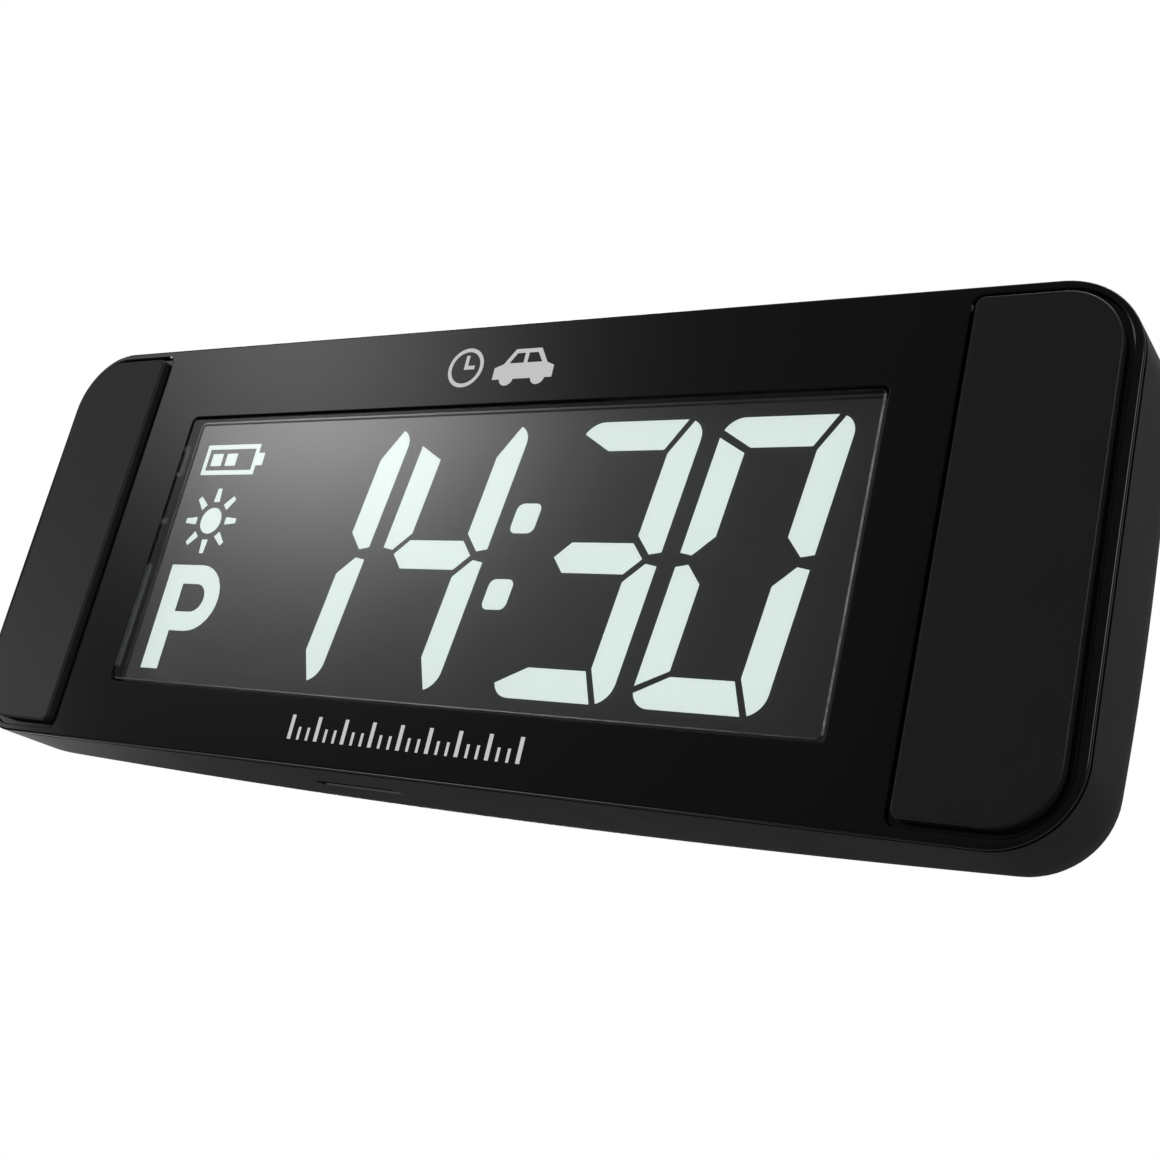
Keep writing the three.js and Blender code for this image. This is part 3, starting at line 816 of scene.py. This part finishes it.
def hook_slots():
    """The openings under the shell's edge that the door's hooks reach into."""
    half = HOOK_HALF + HOOK_CLEARANCE
    slots = []
    for x, top in hook_places():
        low = (x - half, top - 3.7, DOOR_HALF_Z - 3)
        high = (x + half, top - CASE_WALL - 0.05, DOOR_HALF_Z + 2.2)
        slots.append(box_piece("hook_slot", low, high))
    return slots


def latch_notch():
    """The notch in the ledge that the door's latch tongue snaps into."""
    top = dome_y(DOOR_X, DOOR_HALF_Z)
    half = 4.8
    low = (DOOR_X - half, top - 5, -DOOR_HALF_Z - 0.5)
    return box_piece("notch", low, (DOOR_X + half, top - 1, 2 - DOOR_HALF_Z))


PULL_SLOT_X, PULL_SLOT_Y, PULL_SLOT_LENGTH, PULL_SLOT_HEIGHT = -7.6, 6.27, 8.2, 1.0


def pull_slot():
    """The rounded slot in the underside where the battery strip is pulled out."""
    half_x, half_y = PULL_SLOT_LENGTH / 2, PULL_SLOT_HEIGHT / 2
    outside, flare, depth = -CASE_HALF_Z, 0.12, 2.1
    narrow = outline(half_x, half_y, half_y * 0.9, PULL_SLOT_X, PULL_SLOT_Y)
    wide = outline(half_x + flare, half_y + flare, half_y, PULL_SLOT_X, PULL_SLOT_Y)
    steps = ((wide, outside - REACH), (wide, outside), (narrow, outside + flare), (narrow, outside + depth))
    return loft("pull_slot", [[(x, y, level) for x, y in points] for points, level in steps])


# ---- Battery door, buttons and screws ----


def make_door(material, ink):
    """The door: a bowed plate with a rounded rim, hooks, a latch and grip ribs."""
    edge, dome_rings = 0.18, 12

    def ring(inset, drop, share=1.0):
        points = door_shape(-inset, -inset)
        scaled = [(DOOR_X + (x - DOOR_X) * share, z * share) for x, z in points]
        return at_depth(scaled, below_back(drop))

    shares = [i / dome_rings for i in range(1, dome_rings)]
    rings = [ring(0, DOOR_THICKNESS, share) for share in shares] + [ring(0, DOOR_THICKNESS)]
    rings += [ring(inset, drop) for inset, drop in quarter_round(edge)]
    rings += [ring(edge, 0, share) for share in shares[::-1]]
    crown = dome_y(DOOR_X, 0)
    door = loft("door_plate", rings, (DOOR_X, crown - DOOR_THICKNESS, 0), (DOOR_X, crown, 0))
    for tool in door_fittings():
        combine(door, [tool], "UNION")
    engraved = 0.18
    combine(door, [thumb_dish(), arrow_mark("arrow", 0, engraved, -REACH)])
    combine(door, grip_ribs(), "UNION")
    dress(smooth_bowed(door), material, "door", ["battery_door"])
    dress(arrow_mark("door_arrow", 0.02, engraved - 0.01, 0.03), ink, "door")


def door_fittings():
    """Each hook's root and finger, and the latch tongue."""
    fittings = []
    hook_end, inner_z = 2.9, DOOR_HALF_Z - 2
    for x, top in hook_places():
        low = (x - HOOK_HALF, top - hook_end, inner_z)
        fittings.append(box_piece("root", low, (x + HOOK_HALF, top - 0.7, DOOR_HALF_Z - 1.3)))
        fittings.append(box_piece("finger", low, (x + HOOK_HALF, top - 1.9, DOOR_HALF_Z + 1.3)))
    top = dome_y(DOOR_X, DOOR_HALF_Z)
    half, thickness, latch_z = 4.5, 0.9, 0.25 - DOOR_HALF_Z
    low, high = (DOOR_X - half, top - 4, latch_z), (DOOR_X + half, top - 0.7, latch_z + thickness)
    return fittings + [box_piece("latch", low, high)]


THUMB_Z, THUMB_HALF_X, THUMB_HALF_Z, THUMB_CORNER = -7.6, 6.5, 3.1, 2.4


def thumb_dish():
    """A shallow dish for a thumb, near the latch."""
    floor, steps, slope = 0.45, 8, 1.2
    rings = []
    for i in range(steps + 1):
        share = i / steps
        drop = floor * (1 - share * share)
        inset = slope * (1 - share)
        points = outline(THUMB_HALF_X - inset, THUMB_HALF_Z - inset, THUMB_CORNER, DOOR_X, THUMB_Z)
        rings.append(at_depth(points, below_back(drop - ABOVE)))
    rings.append(at_depth(points, below_back(-REACH)))
    return loft("thumb_dish", rings)


def grip_ribs():
    """Fine ribs across the thumb dish."""
    pitch, half_z, round_off = 0.85, 0.16, 0.08
    ribs = []
    for i in range(-2, 3):
        z = THUMB_Z + i * pitch
        half_x = 4.2 - 0.25 * abs(i)
        wide = outline(half_x, half_z, 0.15, DOOR_X, z, 4, side_x=8)
        narrow = outline(half_x - round_off, half_z - round_off, 0.07, DOOR_X, z, 4, side_x=8)
        steps = ((wide, 0.7), (wide, 0.25), (narrow, 0.17))
        ribs.append(loft("rib", [at_depth(points, below_back(drop)) for points, drop in steps]))
    return ribs


def arrow_mark(name, shrink, floor, top):
    """A triangle that shows which way the door opens, between two depths below the door's face."""
    half_x, low_z, high_z = 1.5 - 2 * shrink, shrink - 2.3, 0.1 - 2 * shrink
    points = [(DOOR_X - half_x, low_z), (DOOR_X + half_x, low_z), (DOOR_X, high_z)]
    return prism(name, points, below_back(floor), below_back(top))


def make_button(name, x, z, material, ink):
    """A key cap with a flange, a rounded rim, a crown and an engraved symbol filled with ink."""
    low, high = mm_box("button_" + name)
    top, flange, flange_top = high.y, 3.9, low.y + 0.5
    rim, crown = 0.35, 0.28
    inner = BUTTON_RADIUS - rim
    rounded = [(BUTTON_RADIUS - inset, top - crown - drop) for inset, drop in quarter_round(rim, 6)]
    crowned = [(r, top - crown + crown * (1 - (r / inner) ** 2)) for r in (2.4, 1.9, 1.4, 0.9, 0.4)]
    profile = [(0, low.y), (flange, low.y), (flange, flange_top), (BUTTON_RADIUS, flange_top)]
    cap = lathe("cap_" + name, [*profile, *rounded, *crowned, (0, top)], x, z)
    engraved = 0.16
    combine(cap, [solid_between("symbol", *key_symbol(name, x, z), top - engraved, top + REACH)])
    dress(smooth(cap), material, name + "_key", ["button_" + name])
    symbol = key_symbol(name, x, z, 0.02)
    inlay = solid_between("symbol_" + name, *symbol, top - engraved + 0.01, top - 0.05)
    dress(inlay, ink, name + "_key")


def key_symbol(name, x, z, shrink=0.0):
    """What each key sets: a short hand, a long hand or a ring, as an outline and its hole, if any."""
    if name == "set":
        return circle(1.3 - shrink, x, z), circle(0.8 + shrink, x, z)
    half_z = 0.9 if name == "hour" else 1.6
    return outline(0.28 - shrink, half_z - shrink, 0.27 - shrink, x, z, 6), None


def solid_between(name, outer, hole, low, high):
    """A flat-ended solid with an outline, and a hole through it if one is given."""
    solid = prism(name, outer, low, high)
    if hole:
        combine(solid, [prism("core", hole, low - REACH, high + REACH)])
    return solid


def make_screw(name, material):
    """A pan-head screw with a rounded rim and a tapered cross recess."""
    low, high = mm_box(name)
    x, z = (low.x + high.x) / 2, (low.z + high.z) / 2
    top, seat, head = high.y, SCREW_SEAT_Y + OVERLAP, 2
    pitch, turns, core, crest = 0.8, 7, 0.72, 0.95
    start = low.y + 0.8
    profile = [(0, low.y), (0.3, low.y + 0.05)]
    for i in range(turns):
        profile += [(core, start + i * pitch), (crest, start + (i + 0.5) * pitch)]
    profile += [(core, start + turns * pitch), (core, seat), (head, seat)]
    profile += [(head - inset, top - drop) for inset, drop in quarter_round(0.5, 6)]
    screw = lathe(name + "_detail", [*profile, (0, top)], x, z, 40)
    long, thick, depth, taper = 1.25, 0.3, 0.9, 0.55
    arms = []
    for half_x, half_z in ((long, thick), (thick, long)):
        wide = rectangle(x - half_x, z - half_z, x + half_x, z + half_z)
        tight = [(x + (px - x) * taper, z + (pz - z) * taper) for px, pz in wide]
        rings = [at_depth(tight, top - depth), at_depth(wide, top + ABOVE), at_depth(wide, top + REACH)]
        arms.append(loft("arm", rings))
    for arm in arms:
        combine(screw, [arm])
    dress(smooth(screw), material, stands_for=[name])


# ---- Display ----

DIGIT_HEIGHT, DIGIT_WIDTH, BAR, DIGIT_CORNER = 21.52, 10.17, 2.35, 1.6
DIGIT_BOTTOM, SLANT = -11.30, 0.135
SEGMENT_GAP = 0.4
DIGIT_LEFT = {"1": -21.17, "4": -9.48, "3": 5.72, "0": 17.41}
LIT = {"1": "bc", "4": "bcfg", "3": "abcdg", "0": "abcdef"}
INK_DEPTH = 0.02


def arc(cx, cz, start, end, radius=DIGIT_CORNER, steps=8):
    """Points along an arc between two angles in degrees."""
    angles = [math.radians(start + (end - start) * i / steps) for i in range(steps + 1)]
    return [(cx + radius * math.cos(a), cz + radius * math.sin(a)) for a in angles]


def segment_outlines():
    """The seven upright segments, from the digit's lower left corner. One of them takes each round corner."""
    width, height, bar, corner = DIGIT_WIDTH, DIGIT_HEIGHT, BAR, DIGIT_CORNER
    right, top = width - corner, height - corner
    inner_x, inner_top = width - bar, height - bar
    middle, bar_half = height / 2, 1.18
    tip_x, tip, shoulder = 0.96, middle + 0.35, middle + 1.76
    tip_end = tip + 0.18
    upper_left = [(0, tip_end), (tip_x, tip), (bar, shoulder)]
    lower_left = [(x, height - z) for x, z in upper_left[::-1]]
    upper_right = [(width - x, z) for x, z in upper_left]
    lower_right = [(x, height - z) for x, z in upper_right]
    gap = SEGMENT_GAP
    return {
        "a": arc(corner, top, 156, 90)
        + [(width - 1.52, height), (inner_x - gap, inner_top), (bar + 0.34, inner_top)],
        "b": arc(right, top, 67.5, 0) + upper_right + [(inner_x, inner_top - 0.3)],
        "c": arc(right, corner, 0, -71) + [(inner_x, bar + 0.2)] + lower_right[::-1],
        "d": arc(corner, corner, 200, 270) + [(width - 1.58, 0), (inner_x - gap, bar), (bar + 0.18, bar)],
        "e": [(0, 1.56), (bar, bar + gap)] + lower_left,
        "f": [(0, height - 1.52)] + upper_left + [(bar, inner_top - gap)],
        "g": [
            (1.29, middle), (bar + 0.08, middle + bar_half), (inner_x - 0.18, middle + bar_half),
            (width - 1.37, middle), (inner_x - 0.18, middle - bar_half), (bar + 0.08, middle - bar_half),
        ],
    }


def slanted(points, x, z=DIGIT_BOTTOM):
    return [(x + px + SLANT * pz, z + pz) for px, pz in points]


def flat_shapes(name, shapes, depth, thickness=INK_DEPTH):
    """One piece made of thin closed shapes that stand in front of a depth."""
    vertices, faces = [], []
    for points in shapes:
        first, count = len(vertices), len(points)
        vertices += at_depth(points, depth - thickness) + at_depth(points, depth)
        faces.append(tuple(range(first, first + count)))
        faces.append(tuple(range(first + count, first + 2 * count)))
        for j in range(count):
            k = (j + 1) % count
            faces.append((first + j, first + k, first + count + k, first + count + j))
    return new_piece(name, mesh_of(name, vertices, faces))


def grown(points, distance):
    """A convex or nearly convex outline pushed outwards by a distance."""
    corners = [Vector(point) for point in points]
    following = corners[1:] + corners[:1]
    area = sum(corner.cross(after) for corner, after in zip(corners, following))
    side = 1 if area > 0 else -1
    result = []
    for i, corner in enumerate(corners):
        before = corner - corners[i - 1]
        after = following[i] - corner
        normals = [Vector((d.y, -d.x)).normalized() * side for d in (before, after)]
        bisector = (normals[0] + normals[1]).normalized()
        reach = distance / max(bisector.dot(normals[0]), 0.5)
        result.append(tuple(corner + bisector * reach))
    return result


def colon_dots():
    """The colon's two slanted dots."""
    for x, z in ((5.06, 2.51), (4.23, -3.55)):
        yield [(px + SLANT * (pz - z), pz) for px, pz in outline(1.1, 1.2, 0.55, x, z, 6)]


def parking_letter():
    """An upright P as an outline and its hole: a stem and a bowl."""
    left, right, bottom, top = -31.16, -24.46, -11.24, -1.92
    stem, bar, bowl_height = 2.0, 1.7, 5.9
    bowl_bottom = top - bowl_height
    half = (top - bowl_bottom) / 2
    centre = (right - half, top - half)
    outer = arc(*centre, -90, 90, half, 14)
    inner = arc(*centre, 90, -90, half - bar, 14)
    body = [(left, bottom), (left + stem, bottom), (left + stem, bowl_bottom), *outer, (left, top)]
    return body, [(left + stem, top - bar), *inner, (left + stem, bowl_bottom + bar)]


def battery_icon():
    """A battery: a hollow case with a terminal, and two bars of charge."""
    left, right, bottom, top = -31.3, -24.9, 6.5, 9.35
    wall, terminal_length, bar_width, bar_gap = 0.42, 0.75, 1.25, 0.85
    case = rectangle(left, bottom, right, top)
    hollow = rectangle(left + wall, bottom + wall, right - wall, top - wall)
    shapes = [rectangle(right, 7.35, right + terminal_length, 8.5)]
    for x in (left + 0.9, left + 2.65):
        shapes.append(rectangle(x, bottom + bar_gap, x + bar_width, top - bar_gap))
    return case, hollow, shapes


def sun_icon():
    """A disc with eight tapered rays."""
    centre, rays = Vector((-28.2, 2.18)), 8
    shapes = [circle(1.2, *centre, 32)]
    ray = ((1.75, 0.34), (1.75, -0.34), (3.0, -0.22), (3.0, 0.22))
    for i in range(rays):
        angle = 2 * math.pi * i / rays
        along = Vector((math.cos(angle), math.sin(angle)))
        across = Vector((-along.y, along.x))
        shapes.append([tuple(centre + along * r + across * w) for r, w in ray])
    return shapes


def make_display(field, lit, ghost, halo):
    """The dark field, and on it the unlit segments, the lit ones with a faint halo, and the symbols."""
    low, high = mm_box("lcd_front_glass")
    plate = outline(high.x - LENS_X, (high.z - low.z) / 2, 0.3, LENS_X, (high.z + low.z) / 2, 4)
    dress(prism("display_glass", plate, low.y, high.y), field, stands_for=["lcd_front_glass"])
    parts = segment_outlines()
    shown, hidden = [], []
    for digit, left in DIGIT_LEFT.items():
        for key, points in parts.items():
            (shown if key in LIT[digit] else hidden).append(slanted(points, left))
    shown += list(colon_dots())
    halos = [grown(points, 0.28) for points in shown]
    back = DISPLAY_Y - INK_DEPTH
    case, hollow, charge = battery_icon()
    for piece, material in (
        (flat_shapes("segment_halos", halos, DISPLAY_Y, 0.006), halo),
        (flat_shapes("unlit_segments", hidden, DISPLAY_Y, 0.008), ghost),
        (flat_shapes("lit_segments", shown, DISPLAY_Y), lit),
        (solid_between("parking_letter", *parking_letter(), back, DISPLAY_Y), lit),
        (solid_between("battery_case_icon", case, hollow, back, DISPLAY_Y), lit),
        (flat_shapes("battery_charge_icon", charge, DISPLAY_Y), lit),
        (flat_shapes("sun_icon", sun_icon(), DISPLAY_Y), lit),
    ):
        dress(piece, material)


# ---- Printing on the face ----


PRINT_DEPTH = 0.012


def clock_pictogram(x, z, radius):
    """A dial ring with two hands."""
    stroke, half = 0.32, 0.16
    outer, inner = circle(radius, x, z, 64), circle(radius - stroke, x, z, 64)
    hands = [
        rectangle(x - half, z - half, x + half, z + radius * 0.62),
        rectangle(x + half, z - half, x + radius * 0.5, z + half),
    ]
    ring = solid_between("dial_ring_print", outer, inner, FACE_Y - INK_DEPTH, FACE_Y)
    return ring, flat_shapes("dial_hands_print", hands, FACE_Y, PRINT_DEPTH)


def scale_marks(x, z, length, count):
    """A row of time-scale ticks, every third one longer."""
    shapes = []
    for i in range(count):
        tick_x = x + length * (i / (count - 1) - 0.5)
        half, height = (0.17, 1.9) if i % 3 == 0 else (0.12, 1.0)
        shapes.append(rectangle(tick_x - half, z, tick_x + half, z + height))
    return flat_shapes("scale_print", shapes, FACE_Y, PRINT_DEPTH)


def car_pictogram(x, z):
    """A plain car seen from the side, with two windows, on two wheels."""
    sill, bonnet, belt, roof, length = 0.5, 1.5, 1.8, 3.05, 5.6
    body = [(0, sill), (length, sill), (length, bonnet), (4.9, belt)]
    body += [(4.1, roof), (1.7, roof), (0.8, belt), (0, bonnet)]
    pane_low, pane_top = 1.85, 2.7
    panes = [
        [(1.3, pane_low), (2.65, pane_low), (2.65, pane_top), (1.9, pane_top)],
        [(3.0, pane_low), (4.4, pane_low), (3.85, pane_top), (3.0, pane_top)],
    ]
    body, *panes = ([(x + px, z + pz) for px, pz in shape] for shape in (body, *panes))
    car = flat_shapes("car_print", [body], FACE_Y, 0.010)
    combine(car, [prism("pane", pane, FACE_Y - REACH, FACE_Y + REACH) for pane in panes])
    wheels = [circle(0.66, x + wheel_x, z + 0.6, 24) for wheel_x in (1.35, 4.3)]
    return car, flat_shapes("wheel_print", wheels, FACE_Y, 0.014)


def make_printing(ink):
    clock = clock_pictogram(x=-3.1, z=14.6, radius=1.7)
    car = car_pictogram(x=-0.2, z=12.9)
    scale = scale_marks(x=0.1, z=-16.3, length=21.4, count=25)
    for piece in (*clock, *car, scale):
        dress(piece, ink)


# ---- Carried-over CAD pieces ----


def bevelled(node, material, width):
    """Dresses a CAD node in a material and rounds its edges."""
    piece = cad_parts[node]
    piece.data.materials.clear()
    piece.data.materials.append(material)
    bevel = piece.modifiers.new("soft_edges", "BEVEL")
    bevel.width = width * MM
    bevel.segments = 2
    bevel.limit_method = "ANGLE"
    bevel.angle_limit = math.radians(40)
    bevel.harden_normals = True


def finish_inner_pieces(black, plate, board, chips, white, stripes, steel, glass):
    for side in ("left", "right"):
        bevelled("cell_holder_" + side, black, 0.15)
        bevelled("coin_cell_" + side, plate, 0.15)
        bevelled("negative_contact_" + side, plate, 0.05)
        bevelled("positive_contact_" + side, plate, 0.05)
        bevelled("pcb_screw_" + side, steel, 0.1)
    for name in ("hour", "minute", "set"):
        bevelled("switch_base_" + name, chips, 0.15)
        bevelled("switch_plunger_" + name, black, 0.1)
    bevelled("lcd_frame", black, 0.15)
    bevelled("lcd_rear_glass", glass, 0.05)
    bevelled("reflector_plate", white, 0.1)
    bevelled("zebra_strip", stripes, 0.1)
    bevelled("main_pcb", board, 0.05)
    bevelled("microcontroller", chips, 0.1)
    bevelled("motion_sensor", chips, 0.08)
    bevelled("clock_crystal", plate, 0.15)


def make_object():
    gloss, satin, rubber = gloss_black(), satin_black(), pad_rubber()
    steel, plate, field = black_steel(), nickel(), display_glass()
    make_front_cover(gloss)
    make_pad(-1, "mounting_pad_left", rubber)
    make_pad(1, "mounting_pad_right", rubber)
    film = clear_mirror("polarising_film", mirror_index=2.8, roughness=0.1)
    make_lens(clear_mirror("clear_lens", mirror_index=1.5, roughness=0.08), lens_edge(), film)
    make_display(field, lit_segment(), ghost_segment(), segment_halo())
    ink = face_print()
    make_printing(ink)
    make_rear_cover(satin)
    make_door(satin, ink)
    for name, x, z in button_places():
        make_button(name, x, z, satin, ink)
    for place in ("left_lower", "left_upper", "right_lower", "right_upper"):
        make_screw("case_screw_" + place, steel)
    finish_inner_pieces(
        inner_plastic(), plate, solder_mask(), chip_black(), reflector_white(), striped_rubber(), steel, field
    )


make_camera()
make_world()
make_stage()
make_object()
